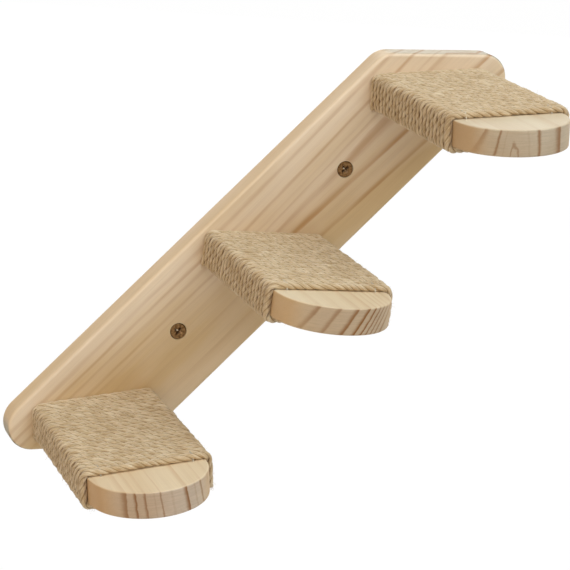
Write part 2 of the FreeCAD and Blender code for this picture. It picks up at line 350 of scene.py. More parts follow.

    # painted shade on the planed sides, and cut ends where the fibres point at the eye: greyer, sawn, the
    # rings darkest
    square = addNode(
        tree, "ShaderNodeVectorRotate", {"Vector": coords.outputs["Normal"], "Rotation": turn},
        rotation_type="EULER_XYZ", invert=True,
    )
    facing = addNode(tree, "ShaderNodeSeparateXYZ", {0: square})
    squareness, edgeness = (
        addNode(tree, "ShaderNodeMath", {0: facing.outputs[axis]}, operation="ABSOLUTE")
        for axis in plank["axes"][:2]
    )
    low, high = pine["edgeSpan"]
    edge = addNode(
        tree, "ShaderNodeMapRange", {0: edgeness, 1: low, 2: high}, interpolation_type="SMOOTHSTEP"
    )
    # the sideways faces take the edge colour as painted shade
    sideShaded = addNode(
        tree, "ShaderNodeMix", {0: edge, 6: grained.outputs[2], 7: srgb(plank["edge"])},
        data_type="RGBA", blend_type="MULTIPLY",
    )
    low, high = pine["endSpan"]
    endGrain = addNode(
        tree, "ShaderNodeMapRange", {0: squareness, 1: low, 2: high}, interpolation_type="SMOOTHSTEP"
    )
    sawn = (1 / pine["sawLength"], 1 / pine["sawLength"], 1 / pine["sawWidth"])
    strokes = addNode(tree, "ShaderNodeVectorMath", {0: local, 1: sawn}, operation="MULTIPLY")
    saw = addNode(tree, "ShaderNodeTexNoise", {"Vector": strokes, "Scale": 1.0, "Detail": 2.0})
    scuff = addNode(
        tree, "ShaderNodeMapRange", {0: saw, 1: noiseLow, 2: noiseHigh, 3: pine["sawShade"], 4: 1.0}
    )
    dulled = addNode(
        tree, "ShaderNodeMix", {0: 1.0, 6: grained.outputs[2], 7: srgb(plank["end"])},
        data_type="RGBA", blend_type="MULTIPLY",
    )
    scuffed = addNode(
        tree, "ShaderNodeMix", {0: 1.0, 6: dulled.outputs[2], 7: scuff},
        data_type="RGBA", blend_type="MULTIPLY",
    )
    sharp = addNode(tree, "ShaderNodeMath", {0: late, 1: pine["endSharp"]}, operation="POWER")
    inked = addNode(tree, "ShaderNodeMath", {0: sharp, 1: dark}, operation="MULTIPLY")
    ended = addNode(
        tree, "ShaderNodeMix", {0: inked, 6: scuffed.outputs[2], 7: srgb(pine["endLine"])}, data_type="RGBA"
    )
    colour = addNode(
        tree, "ShaderNodeMix", {0: endGrain, 6: sideShaded.outputs[2], 7: ended.outputs[2]}, data_type="RGBA"
    )
    tree.links.new(colour.outputs[2], shader.inputs["Base Color"])

    relief = addNode(
        tree, "ShaderNodeMath", {0: fibre, 1: pine["fibreRelief"], 2: ringMark}, operation="MULTIPLY_ADD"
    )
    bump = addNode(tree, "ShaderNodeBump", {"Height": relief, "Strength": 0.35, "Distance": 0.12 * mm})
    tree.links.new(bump.outputs[0], shader.inputs["Normal"])
    return material


def paint(node, material):
    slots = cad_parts[node].data.materials
    slots.clear()
    slots.append(material)


paint("back_board", pineMaterial("radiata pine, board", planks["board"]))
for name in treadNames:
    paint(f"{name}_tread", pineMaterial(f"radiata pine, {name} tread", planks[name]))
print("pine: board and", len(treadNames), "treads")

# Jute cord of three strands, wound tight round each tread and left raw
cord = {
    "turns": 23,
    "pitch": 5.7 * mm,
    "radius": 2.95 * mm,          # a little over half the pitch: neighbours press into each other
    "flat": 0.9,                  # drawn tight, so it is pressed flatter against the wood
    "boardGap": 2.85 * mm,        # from the board to the middle of the first turn
    "halfWidth": 42.4 * mm,       # the route's sides and top, about the tread's middle
    "halfHeight": 11.4 * mm,
    "cornerReach": 10 * mm,       # where the route starts to bend before a corner
    "cutEnd": 11.5 * mm,          # how far below the middle the cord is cut off
    "lay": 19.5 * mm,
    "strands": 3,
    "pointsPerStrand": 6,
    "grooveDepth": 0.26,
    "step": 1.15 * mm,
    "wander": 0.55 * mm,
    "wanderLength": 22 * mm,
    "uneven": 3.0,                # how far, in radians, the lay runs ahead or behind
    "unevenLength": 45 * mm,
    "thickness": (0.95, 1.05),    # where it is thinnest and thickest
    "apart": 7.0,                 # metres of cord from one winding to the next, so that no two are alike
    "colours": ((0.37, "#AF936A"), (0.5, "#CFB892"), (0.63, "#E6D7BA")),
    "groove": "#997C53",          # painted shade between the strands
    "grooveShare": 0.35,          # how far up a strand it reaches
    "valleyShade": "#5C3F20",          # painted shade between the turns and where the last turn meets the wood
    "valleySpan": (0.58, 0.98),   # how deep between the turns it starts, and is full
    "valleyFull": 0.9,
    "valleyTouch": (1.35, 0.25),  # more of it in a groove, less on a strand
    "flankWidth": 1.5 * mm,       # painted shade between the turns is darker at the tread's sides than on its top
    "flankDip": (0.9, 1.33),
    "tuckInset": 1.5 * mm,        # the last turn gets painted shadow from here in to the wood
    "tuckSpan": (-0.5 * mm, -2.2 * mm),
    "tuckDip": (0.33, 0.78),
    "frontStart": 1.2 * mm,       # the last turn's front starts this far past its middle
    "frontCut": 0.08,             # and frays this much as a cut end does
    "yarnWidth": 0.6 * mm,
    "yarnLength": 14 * mm,
    "fibreWidth": 0.35 * mm,      # twice a real fibre bundle, to show
    "fibreLength": 7 * mm,
    "patchSize": 9 * mm,
    "toneShares": (0.35, 0.35, 0.3),  # of the fibres, the yarns and the patches
}


def juteMaterial():
    # raw bast fibre: dry, matt and straw-coloured, each strand streaked; painted shade in the grooves and
    # between turns
    material, tree, shader = newMaterial("jute", Roughness=0.85, Sheen_Weight=0.25, Sheen_Roughness=0.6)
    shader.inputs["Specular IOR Level"].default_value = 0.25
    lie = addNode(tree, "ShaderNodeAttribute", attribute_name="lie")
    crest = addNode(tree, "ShaderNodeAttribute", attribute_name="crest")
    thin = (1 / cord["fibreWidth"], 1 / cord["fibreWidth"], 1 / cord["fibreLength"])
    stretch = addNode(
        tree, "ShaderNodeVectorMath", {0: lie.outputs["Vector"], 1: thin}, operation="MULTIPLY"
    )
    fibre = addNode(tree, "ShaderNodeTexNoise", {"Vector": stretch, "Scale": 1.0, "Detail": 2.0})
    patch = addNode(
        tree, "ShaderNodeTexNoise",
        {"Vector": lie.outputs["Vector"], "Scale": 1 / cord["patchSize"], "Detail": 2.0},
    )
    wind = addNode(tree, "ShaderNodeAttribute", attribute_name="wind")
    coarse = (1 / cord["yarnWidth"], 1 / cord["yarnWidth"], 1 / cord["yarnLength"])
    spun = addNode(
        tree, "ShaderNodeVectorMath", {0: wind.outputs["Vector"], 1: coarse}, operation="MULTIPLY"
    )
    yarn = addNode(tree, "ShaderNodeTexNoise", {"Vector": spun, "Scale": 1.0, "Detail": 1.0})
    level = 0.0
    for tone, part in zip((fibre, yarn, patch), cord["toneShares"]):
        level = addNode(tree, "ShaderNodeMath", {0: tone, 1: part, 2: level}, operation="MULTIPLY_ADD")
    straw = addNode(
        tree, "ShaderNodeValToRGB", {0: level},
        stops=[(place, srgb(code)) for place, code in cord["colours"]],
    )
    # painted shade in the grooves between the strands
    crested = addNode(
        tree, "ShaderNodeMapRange", {0: crest.outputs["Fac"], 2: cord["grooveShare"]},
        interpolation_type="SMOOTHSTEP",
    )
    stranded = addNode(
        tree, "ShaderNodeMix", {0: crested, 6: srgb(cord["groove"]), 7: straw}, data_type="RGBA"
    )
    # painted shade between the turns and painted shadow by the wood, stronger in a strand's groove
    sunk = addNode(tree, "ShaderNodeAttribute", attribute_name="sunk")
    low, high = cord["valleySpan"]
    valleyShade = addNode(
        tree, "ShaderNodeMapRange", {0: sunk.outputs["Fac"], 1: low, 2: high, 4: cord["valleyFull"]},
        interpolation_type="SMOOTHSTEP",
    )
    more, less = cord["valleyTouch"]
    touching = addNode(tree, "ShaderNodeMapRange", {0: crest.outputs["Fac"], 3: more, 4: less})
    gap = addNode(tree, "ShaderNodeMath", {0: valleyShade, 1: touching}, operation="MULTIPLY")
    colour = addNode(
        tree, "ShaderNodeMix", {0: gap, 6: stranded.outputs[2], 7: srgb(cord["valleyShade"])}, data_type="RGBA"
    )
    tree.links.new(colour.outputs[2], shader.inputs["Base Color"])
    bump = addNode(tree, "ShaderNodeBump", {"Height": fibre, "Strength": 0.6, "Distance": 0.3 * mm})
    tree.links.new(bump.outputs[0], shader.inputs["Normal"])
    return material


def newTree(name, sizes):
    # an empty Geometry Nodes tree with a named input for each size
    tree = bpy.data.node_groups.new(name, "GeometryNodeTree")
    tree.interface.new_socket("Geometry", in_out="INPUT", socket_type="NodeSocketGeometry")
    tree.interface.new_socket("Geometry", in_out="OUTPUT", socket_type="NodeSocketGeometry")
    for size, kind in sizes.items():
        tree.interface.new_socket(size, in_out="INPUT", socket_type="NodeSocket" + kind)
    return tree, tree.nodes.new("NodeGroupInput"), tree.nodes.new("NodeGroupOutput")


def endTree(tree, result, shape, material):
    # every tree ends as one real mesh with its material
    real = addNode(tree, "GeometryNodeRealizeInstances", {"Geometry": shape})
    done = addNode(tree, "GeometryNodeSetMaterial", {"Geometry": real, "Material": material})
    tree.links.new(done.outputs[0], result.inputs[0])


def runTree(source, tree, values, name):
    # the tree's result on an object as a plain mesh piece
    modifier = source.modifiers.new(tree.name, "NODES")
    modifier.node_group = tree
    for socket in tree.interface.items_tree:
        if socket.in_out == "INPUT" and socket.name in values:
            modifier[socket.identifier] = values[socket.name]
    graph = bpy.context.evaluated_depsgraph_get()
    mesh = bpy.data.meshes.new_from_object(source.evaluated_get(graph), depsgraph=graph)
    source.modifiers.remove(modifier)
    mesh.name = name
    piece = bpy.data.objects.new(name, mesh)
    bpy.context.scene.collection.objects.link(piece)
    return piece


def drawLines(name, lines, kind):
    # a curve object with one spline for each list of x, y, z and radius
    curve = bpy.data.curves.new(name, "CURVE")
    curve.dimensions = "3D"
    for points in lines:
        spline = curve.splines.new(kind)
        spline.points.add(len(points) - 1)
        for point, (x, y, z, radius) in zip(spline.points, points):
            point.co = (x, y, z, 1.0)
            point.radius = radius
    line = bpy.data.objects.new(name, curve)
    bpy.context.scene.collection.objects.link(line)
    return line


def windingTree(material):
    tree, given, result = newTree("jute winding", {
        "Radius": "Float", "Flat": "Float", "Groove": "Float", "Lay": "Float", "Step": "Float",
        "Wander": "Float", "Start": "Float", "Centre": "Vector", "Lean": "Vector",
    })
    size = given.outputs
    path = addNode(
        tree, "GeometryNodeResampleCurve", {"Curve": size["Geometry"], "Length": size["Step"]},
        mode="LENGTH",
    )
    place = addNode(tree, "GeometryNodeSplineParameter")
    along = addNode(tree, "ShaderNodeMath", {0: place.outputs["Length"], 1: size["Start"]}, operation="ADD")

    # hand winding: the cord wanders a little, and is a little thicker here and thinner there
    sway = addNode(
        tree, "ShaderNodeTexNoise", {"W": along, "Scale": 1 / cord["wanderLength"], "Detail": 1.0},
        noise_dimensions="1D",
    )
    centred = addNode(
        tree, "ShaderNodeVectorMath", {0: sway.outputs["Color"], 1: noiseMiddle}, operation="SUBTRACT"
    )
    swayed = addNode(tree, "ShaderNodeVectorMath", {0: centred, "Scale": size["Wander"]}, operation="SCALE")
    moved = addNode(tree, "GeometryNodeSetPosition", {"Geometry": path, "Offset": swayed})
    thin, thick = cord["thickness"]
    fat = addNode(
        tree, "ShaderNodeMapRange",
        {0: sway.outputs["Fac"], 1: noiseLow, 2: noiseHigh, 3: thin, 4: thick},
    )

    # the strands turn once round in each lay length
    turns = addNode(tree, "ShaderNodeMath", {0: along, 1: size["Lay"]}, operation="DIVIDE")
    steady = addNode(tree, "ShaderNodeMath", {0: turns, 1: math.tau}, operation="MULTIPLY")
    slip = addNode(
        tree, "ShaderNodeTexNoise", {"W": along, "Scale": 1 / cord["unevenLength"], "Detail": 1.0},
        noise_dimensions="1D",
    )
    twist = addNode(
        tree, "ShaderNodeMath", {0: slip, 1: 2 * cord["uneven"], 2: steady}, operation="MULTIPLY_ADD"
    )
    tilted = addNode(tree, "GeometryNodeSetCurveTilt", {"Curve": moved, "Tilt": twist})
    here = addNode(tree, "GeometryNodeInputPosition")
    marked = addNode(tree, "GeometryNodeCaptureAttribute", {"Geometry": tilted})
    for name, field in (("along", along), ("twist", twist), ("core", here)):
        marked.capture_items.new("VECTOR" if field == here else "FLOAT", name)
        tree.links.new(field.outputs[0], marked.inputs[name])

    # three round strands side by side make a section of three lobes
    ring = addNode(
        tree, "GeometryNodeCurvePrimitiveCircle",
        {"Resolution": cord["strands"] * cord["pointsPerStrand"], "Radius": size["Radius"]}, mode="RADIUS",
    )
    turn = addNode(tree, "GeometryNodeSplineParameter")
    angle = addNode(tree, "ShaderNodeMath", {0: turn.outputs["Factor"], 1: math.tau}, operation="MULTIPLY")
    half = addNode(tree, "ShaderNodeMath", {0: angle, 1: cord["strands"] / 2}, operation="MULTIPLY")
    wave = addNode(tree, "ShaderNodeMath", {0: half}, operation="COSINE")
    lobe = addNode(tree, "ShaderNodeMath", {0: wave}, operation="ABSOLUTE")
    low = addNode(tree, "ShaderNodeMath", {0: 1.0, 1: size["Groove"]}, operation="SUBTRACT")
    reach = addNode(tree, "ShaderNodeMath", {0: lobe, 1: size["Groove"], 2: low}, operation="MULTIPLY_ADD")
    lobed = addNode(tree, "ShaderNodeVectorMath", {0: here, "Scale": reach}, operation="SCALE")
    noted = addNode(tree, "GeometryNodeCaptureAttribute", {"Geometry": ring})
    for name, field in (("angle", angle), ("lobe", lobe)):
        noted.capture_items.new("FLOAT", name)
        tree.links.new(field.outputs[0], noted.inputs[name])
    section = addNode(tree, "GeometryNodeSetPosition", {"Geometry": noted, "Position": lobed})

    rope = addNode(
        tree, "GeometryNodeCurveToMesh",
        {"Curve": marked, "Profile Curve": section, "Scale": fat, "Fill Caps": True},
    )
    # pressed flatter, but no narrower along the tread
    core = marked.outputs["core"]
    out = addNode(tree, "ShaderNodeVectorMath", {0: here, 1: core}, operation="SUBTRACT")
    squash = addNode(tree, "ShaderNodeCombineXYZ", {0: size["Flat"], 1: 1.0, 2: size["Flat"]})
    pressed = addNode(tree, "ShaderNodeVectorMath", {0: out, 1: squash, 2: core}, operation="MULTIPLY_ADD")
    shaped = addNode(tree, "GeometryNodeSetPosition", {"Geometry": rope, "Position": pressed})

    # what the jute reads: lie runs along the cord, as its fibres do, wind goes round with the strands,
    # crest is high on a strand, and sunk is where painted shade falls, between two turns, and painted
    # shadow by the wood in front. Proud and cut mark where fibres stand out.
    bearing = addNode(
        tree, "ShaderNodeMath", {0: noted.outputs["angle"], 1: marked.outputs["twist"]}, operation="ADD"
    )
    fields = {}
    for name, start in (("lie", bearing), ("wind", noted.outputs["angle"])):
        swing = []
        for operation in ("COSINE", "SINE"):
            wave = addNode(tree, "ShaderNodeMath", {0: start}, operation=operation)
            swing.append(addNode(
                tree, "ShaderNodeMath", {0: wave, 1: size["Radius"]}, operation="MULTIPLY"
            ))
        fields[name] = addNode(
            tree, "ShaderNodeCombineXYZ", {0: swing[0], 1: swing[1], 2: marked.outputs["along"]}
        )
    sides = addNode(tree, "ShaderNodeSeparateXYZ", {0: out})
    beside = addNode(tree, "ShaderNodeMath", {0: sides.outputs["Y"]}, operation="ABSOLUTE")
    fields["crest"] = noted.outputs["lobe"]
    deep = addNode(tree, "ShaderNodeMath", {0: beside, 1: size["Radius"]}, operation="DIVIDE")
    spot = addNode(tree, "ShaderNodeSeparateXYZ", {0: here})
    lastTurn = -cord["boardGap"] - (cord["turns"] - 1) * cord["pitch"]
    between = addNode(
        tree, "ShaderNodeMath", {0: spot.outputs["Y"], 1: lastTurn}, operation="GREATER_THAN"
    )
    enclosed = addNode(tree, "ShaderNodeMath", {0: deep, 1: between}, operation="MULTIPLY")
    outward = []
    for axis, reach in (("Z", cord["halfHeight"]), ("X", cord["halfWidth"])):
        far = addNode(tree, "ShaderNodeMath", {0: spot.outputs[axis]}, operation="ABSOLUTE")
        outward.append(addNode(tree, "ShaderNodeMath", {0: far, 1: reach}, operation="SUBTRACT"))
    outer = addNode(tree, "ShaderNodeMath", dict(enumerate(outward)), operation="MAXIMUM")
    front = lastTurn - cord["frontStart"]
    ahead = addNode(tree, "ShaderNodeMath", {0: front, 1: spot.outputs["Y"]}, operation="SUBTRACT")
    fields["proud"] = addNode(tree, "ShaderNodeMath", {0: outer, 1: ahead}, operation="MAXIMUM")
    # the painted shade is stronger at the tread's sides; the last turn gets painted shadow next to the wood
    low, high = cord["flankDip"]
    flank = addNode(
        tree, "ShaderNodeMapRange", {0: outward[1], 1: -cord["flankWidth"], 2: 0.0, 3: low, 4: high}
    )
    inset = addNode(tree, "ShaderNodeMath", {0: outward[1], 1: cord["tuckInset"]}, operation="SUBTRACT")
    inner = addNode(tree, "ShaderNodeMath", {0: outward[0], 1: inset}, operation="MAXIMUM")
    start, end = cord["tuckSpan"]
    low, high = cord["tuckDip"]
    tucked = addNode(tree, "ShaderNodeMapRange", {0: inner, 1: start, 2: end, 3: low, 4: high})
    dip = addNode(tree, "ShaderNodeMix", {0: between, 2: tucked, 3: enclosed}, data_type="FLOAT")
    fields["sunk"] = addNode(tree, "ShaderNodeMath", {0: dip, 1: flank}, operation="MULTIPLY")
    # only the two cut ends have more than four corners
    corners = addNode(tree, "GeometryNodeInputMeshFaceNeighbors")
    capped = addNode(tree, "ShaderNodeMath", {0: corners, 1: 4.5}, operation="GREATER_THAN")
    facing = addNode(tree, "ShaderNodeMath", {0: ahead, 1: 0.0}, operation="GREATER_THAN")
    fields["cut"] = addNode(
        tree, "ShaderNodeMath", {0: facing, 1: cord["frontCut"], 2: capped}, operation="MULTIPLY_ADD"
    )
    written = shaped
    for name, field in fields.items():
        kind = "FLOAT_VECTOR" if name in ("lie", "wind") else "FLOAT"
        written = addNode(
            tree, "GeometryNodeStoreNamedAttribute", {"Geometry": written, "Name": name, "Value": field},
            data_type=kind, domain="FACE" if name == "cut" else "POINT",
        )
    fitted = addNode(
        tree, "GeometryNodeTransform",
        {"Geometry": written, "Translation": size["Centre"], "Rotation": size["Lean"]},
    )
    smooth = addNode(tree, "GeometryNodeSetShadeSmooth", {"Geometry": fitted})
    endTree(tree, result, smooth, material)
    return tree


# Loose jute fibres that stand out of the cord, most of all where it is cut
fuzz = {
    "perArea": 28000,             # hairs on a square metre of the cord's outer side
    "perCutArea": 2.5e6,
    "proud": 0.3 * mm,            # they grow only where the cord stands out this far
    "length": 2.8 * mm,
    "lengths": (0.45, 1.2),       # the shortest and the longest, as shares of that
    "width": 0.13 * mm,           # twice a real fibre, to show
    "tip": 0.35,                  # a tip's width as a share of that
    "bow": 0.9 * mm,
    "lean": 80,                   # degrees from upright
    "cutLean": 28,
    "spinSeed": 5,
    "lengthSeed": 9,
    "toneSize": 2 * mm,
    "tones": ((0.35, "#BFA47A"), (0.65, "#DCC7A2")),
}


def hairMaterial():
    # single bast fibres: paler and drier than the cord, each its own tone along its length
    material, tree, shader = newMaterial("jute fibre", Roughness=0.8, Sheen_Weight=0.2)
    coords = addNode(tree, "ShaderNodeTexCoord")
    tone = addNode(
        tree, "ShaderNodeTexNoise",
        {"Vector": coords.outputs["Object"], "Scale": 1 / fuzz["toneSize"], "Detail": 1.0},
    )
    colour = addNode(
        tree, "ShaderNodeValToRGB", {0: tone}, stops=[(place, srgb(code)) for place, code in fuzz["tones"]]
    )
    tree.links.new(colour.outputs[0], shader.inputs["Base Color"])
    return material


def fuzzTree(material):
    tree, given, result = newTree("jute fuzz", {
        "Per Area": "Float", "Per Cut Area": "Float", "Length": "Float", "Width": "Float", "Bow": "Float",
        "Seed": "Int",
    })
    size = given.outputs
    proud, cut = (
        addNode(tree, "GeometryNodeInputNamedAttribute", {"Name": name}, data_type="FLOAT")
        for name in ("proud", "cut")
    )
    outer = addNode(tree, "ShaderNodeMath", {0: proud, 1: fuzz["proud"]}, operation="GREATER_THAN")
    sparse = addNode(tree, "ShaderNodeMath", {0: outer, 1: size["Per Area"]}, operation="MULTIPLY")
    dense = addNode(
        tree, "ShaderNodeMath", {0: cut, 1: size["Per Cut Area"], 2: sparse}, operation="MULTIPLY_ADD"
    )
    spots = addNode(
        tree, "GeometryNodeDistributePointsOnFaces",
        {"Mesh": size["Geometry"], "Density": dense, "Seed": size["Seed"]}, distribute_method="RANDOM",
    )

    # one bowed fibre, thinner at its tip
    half = addNode(tree, "ShaderNodeMath", {0: size["Length"], 1: 0.5}, operation="MULTIPLY")
    middle = addNode(tree, "ShaderNodeCombineXYZ", {0: size["Bow"], 2: half})
    tip = addNode(tree, "ShaderNodeCombineXYZ", {2: size["Length"]})
    bend = addNode(
        tree, "GeometryNodeCurveQuadraticBezier",
        {"Resolution": 4, "Start": (0, 0, 0), "Middle": middle, "End": tip},
    )
    rise = addNode(tree, "GeometryNodeSplineParameter")
    thin = addNode(tree, "ShaderNodeMapRange", {0: rise.outputs["Factor"], 3: 1.0, 4: fuzz["tip"]})
    thick = addNode(tree, "ShaderNodeMath", {0: size["Width"], 1: 0.5}, operation="MULTIPLY")
    section = addNode(
        tree, "GeometryNodeCurvePrimitiveCircle", {"Resolution": 3, "Radius": thick}, mode="RADIUS"
    )
    fibre = addNode(
        tree, "GeometryNodeCurveToMesh",
        {"Curve": bend, "Profile Curve": section, "Scale": thin, "Fill Caps": True},
    )

    # leaning any way, but nearly upright on a cut end
    grown = addNode(
        tree, "GeometryNodeInstanceOnPoints",
        {"Points": spots.outputs["Points"], "Instance": fibre, "Rotation": spots.outputs["Rotation"]},
    )
    far, near = math.radians(fuzz["lean"]), math.radians(fuzz["cutLean"])
    most = addNode(tree, "ShaderNodeMapRange", {0: cut, 3: far, 4: near})
    lean = addNode(
        tree, "FunctionNodeRandomValue", {2: -1.0, 3: 1.0, "Seed": size["Seed"]}, data_type="FLOAT"
    )
    leant = addNode(tree, "ShaderNodeMath", {0: lean.outputs[1], 1: most}, operation="MULTIPLY")
    spin = addNode(
        tree, "FunctionNodeRandomValue", {2: 0.0, 3: math.tau, "Seed": fuzz["spinSeed"]}, data_type="FLOAT"
    )
    spun = addNode(tree, "ShaderNodeCombineXYZ", {2: spin.outputs[1]})
    tilt = addNode(tree, "ShaderNodeCombineXYZ", {0: leant})
    turned = addNode(tree, "GeometryNodeRotateInstances", {"Instances": grown, "Rotation": spun})
    bent = addNode(tree, "GeometryNodeRotateInstances", {"Instances": turned, "Rotation": tilt})
    short, long = fuzz["lengths"]
    stretch = addNode(
        tree, "FunctionNodeRandomValue", {2: short, 3: long, "Seed": fuzz["lengthSeed"]}, data_type="FLOAT"
    )
    cropped = addNode(tree, "GeometryNodeScaleInstances", {"Instances": bent, "Scale": stretch.outputs[1]})
    endTree(tree, result, cropped, material)
    return tree


def windingRoute():
    # square over the top and down both sides, and slanted underneath to the next turn
    side, high, reach = cord["halfWidth"], cord["halfHeight"], cord["cornerReach"]
    inner, mid = side - reach, high - reach
    over = [(-side, mid), (-side, high), (-inner, high), (inner, high), (side, high), (side, mid)]
    under = [(side, -mid), (side, -high), (inner, -high)]
    onward = [(-inner, -high), (-side, -high), (-side, -mid)]
    points = [(-side, -cord["boardGap"], -cord["cutEnd"])]
    for turn in range(cord["turns"]):
        y = -cord["boardGap"] - turn * cord["pitch"]
        points += [(x, y, z) for x, z in over]
        if turn < cord["turns"] - 1:
            points += [(x, y, z) for x, z in under]
            points += [(x, y - cord["pitch"], z) for x, z in onward]
    return points + [(side, points[-1][1], -cord["cutEnd"])]


def windCord():
    holder = drawLines("winding", [[(*point, 1.0) for point in windingRoute()]], "NURBS")
    spline = holder.data.splines[0]
    spline.order_u = 3
    spline.use_endpoint_u = True
    holder.data.resolution_u = 8
    tree = windingTree(juteMaterial())
    hairs = fuzzTree(hairMaterial())
    for number, (name, (centre, lean)) in enumerate(treadPlaces.items()):
        rope = runTree(holder, tree, {
            "Radius": cord["radius"], "Flat": cord["flat"], "Groove": cord["grooveDepth"],
            "Lay": cord["lay"], "Step": cord["step"], "Wander": cord["wander"],
            "Start": cord["apart"] * number, "Centre": centre, "Lean": (0, lean, 0),
        }, f"{name}Cord")
        loose = runTree(rope, hairs, {
            "Per Area": fuzz["perArea"], "Per Cut Area": fuzz["perCutArea"], "Length": fuzz["length"],
            "Width": fuzz["width"], "Bow": fuzz["bow"], "Seed": number,
        }, f"{name}CordFuzz")
        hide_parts(f"{name}_rope_wrap")
        for piece in (rope, loose):
            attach(piece, "stairs")
            print("cord:", piece.name, len(piece.data.polygons), "faces")
    bpy.data.objects.remove(holder)


windCord()

# Steel fastenings. tones: the finish's darker and lighter patches. blotch: their size. rough: least and
# most. The bare colour, where the finish is worn off, is pale enough to be a painted highlight too.
metals = {
    "bronze_screw": {
        "name": "bronze-plated steel", "tones": ((0.36, "#5F4328"), (0.62, "#886742")), "bareGlint": "#DDCDB2",
        "blotch": 1.6 * mm, "rough": (0.42, 0.58),
    },
    "zinc_screw": {
        "name": "zinc-plated steel", "tones": ((0.36, "#8F9192"), (0.62, "#B9BABA")), "bareGlint": "#D8D8D6",
        "blotch": 1.2 * mm, "rough": (0.28, 0.45),
    },
    "staple_wire": {
        "name": "galvanised wire", "tones": ((0.36, "#A0988A"), (0.62, "#CFC7B4")), "bareGlint": "#D2CBBC",
        "blotch": 0.9 * mm, "rough": (0.4, 0.6),
    },
}


def metalMaterial(finish):
    # thin plating: patchy in tone and gloss, and pale where a driver has rubbed it off, also a painted
    # highlight
    material, tree, shader = newMaterial(finish["name"], Metallic=1.0)
    coords = addNode(tree, "ShaderNodeTexCoord")
    patch = addNode(
        tree, "ShaderNodeTexNoise",
        {"Vector": coords.outputs["Object"], "Scale": 1 / finish["blotch"], "Detail": 4.0},
    )
    plating = addNode(
        tree, "ShaderNodeValToRGB", {0: patch},
        stops=[(place, srgb(code)) for place, code in finish["tones"]],
    )
    rubbedGlint = addNode(tree, "ShaderNodeAttribute", attribute_name="rubbedGlint")
    colour = addNode(
        tree, "ShaderNodeMix", {0: rubbedGlint.outputs["Fac"], 6: plating, 7: srgb(finish["bareGlint"])},
        data_type="RGBA",
    )
    tree.links.new(colour.outputs[2], shader.inputs["Base Color"])
    low, high = finish["rough"]
    gloss = addNode(tree, "ShaderNodeMapRange", {0: patch, 1: noiseLow, 2: noiseHigh, 3: high, 4: low})
    tree.links.new(gloss.outputs[0], shader.inputs["Roughness"])
    bump = addNode(tree, "ShaderNodeBump", {"Height": patch, "Strength": 0.2, "Distance": 0.05 * mm})
    tree.links.new(bump.outputs[0], shader.inputs["Normal"])
    return material


fastening = {slot: metalMaterial(finish) for slot, finish in metals.items()}
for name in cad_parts:
    if "_tread_screw_" in name:
        paint(name, fastening["zinc_screw"])

# Wire staples over the first and last turns, their crowns pressed into the cord
staple = {
    "wire": 0.75 * mm,
    "bend": 0.6 * mm,
    "crown": 13.25 * mm,          # heights from the tread's middle
    "wood": halfPlank,
    "foot": 2 * mm,
    "span": 11.4 * mm,
    "inset": 1.6 * mm,            # how much narrower the crown is than the legs' holes are apart
    "aside": 31 * mm,
}


def stapleTree(material):
    tree, given, result = newTree("staples", {"Wire": "Float", "Bend": "Float"})
    size = given.outputs
    bent = addNode(
        tree, "GeometryNodeFilletCurve",
        {"Curve": size["Geometry"], "Radius": size["Bend"], "Count": 3, "Limit Radius": True}, mode="POLY",
    )
    thick = addNode(tree, "ShaderNodeMath", {0: size["Wire"], 1: 0.5}, operation="MULTIPLY")
    wire = addNode(
        tree, "GeometryNodeCurvePrimitiveCircle", {"Resolution": 8, "Radius": thick}, mode="RADIUS"
    )
    drawn = addNode(
        tree, "GeometryNodeCurveToMesh", {"Curve": bent, "Profile Curve": wire, "Fill Caps": True}
    )
    smooth = addNode(tree, "GeometryNodeSetShadeSmooth", {"Geometry": drawn})
    endTree(tree, result, smooth, material)
    return tree


def setStaples():
    # between the first two turns underneath, where they lie half a pitch on, and the last two on top
    first = -cord["boardGap"] - cord["pitch"]
    last = -cord["boardGap"] - (cord["turns"] - 1.5) * cord["pitch"]
    spots = {
        "front_left": (-staple["aside"], last, 1),
        "front_right": (staple["aside"], last, 1),
        "rear": (0, first, -1),
    }
    half = staple["span"] / 2
    side = [(half, staple["foot"]), (half, staple["wood"]), (half - staple["inset"], staple["crown"])]
    side += [(-along, high) for along, high in reversed(side)]
    lines = []
    for centre, lean in treadPlaces.values():
        turn = Quaternion((0, 1, 0), lean)
        for x, y, up in spots.values():
            places = [turn @ Vector((x, y + along, up * high)) + centre for along, high in side]
            lines.append([(*place, 1.0) for place in places])
    wires = drawLines("staple wires", lines, "POLY")
    staples = runTree(wires, stapleTree(fastening["staple_wire"]), {
        "Wire": staple["wire"], "Bend": staple["bend"],
    }, "staples")
    bpy.data.objects.remove(wires)
    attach(staples, "stairs")
    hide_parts(*(f"{name}_staple_{spot}" for name in treadNames for spot in spots))
    print("staples:", len(lines), "with", len(staples.data.polygons), "faces")


setStaples()

# Countersunk wall screw with a coarse thread and a cross recess
wallScrew = {
    "turned": [                   # depth and radius in mm, from the head to the tip
        (0, 5.45), (0.35, 5.8), (0.5, 5.8), (4.15, 2.15), (17.8, 2.15), (18.1, 2.0), (54, 2.0), (60, 0.2),
    ],
    "sides": 32,
    "pitch": 2.6 * mm,
    "ridge": 0.8 * mm,            # half the thread's section, which is a square on its corner
    "threads": ((18.5, 54, 2.2, 2.2), (54, 59.5, 2.2, 0.4)),  # first and last depth, first and last radius
    "threadEnd": 0.3,             # how small the ridge gets where it dies out
    "threadFull": (0.06, 0.5),    # the stretch where it is whole before it dies out towards the tip
    "recess": 6.2 * mm,
    "foot": 1.6 * mm,
    "arm": 0.3,                   # an arm's width as a share of the recess
    "recessDepth": 2.6 * mm,
    "overcut": 0.05 * mm,         # the recess starts this far above the head
    "rubbedGlint": (0.5 * mm, 2.5 * mm),  # worn pale, with a painted highlight, up to the first, and whole from the second
    "hardEdge": 0.6,              # edges that turn by more radians stay sharp
    "turns": {"lower": 120, "upper": 140},  # degrees at which each head stopped
}


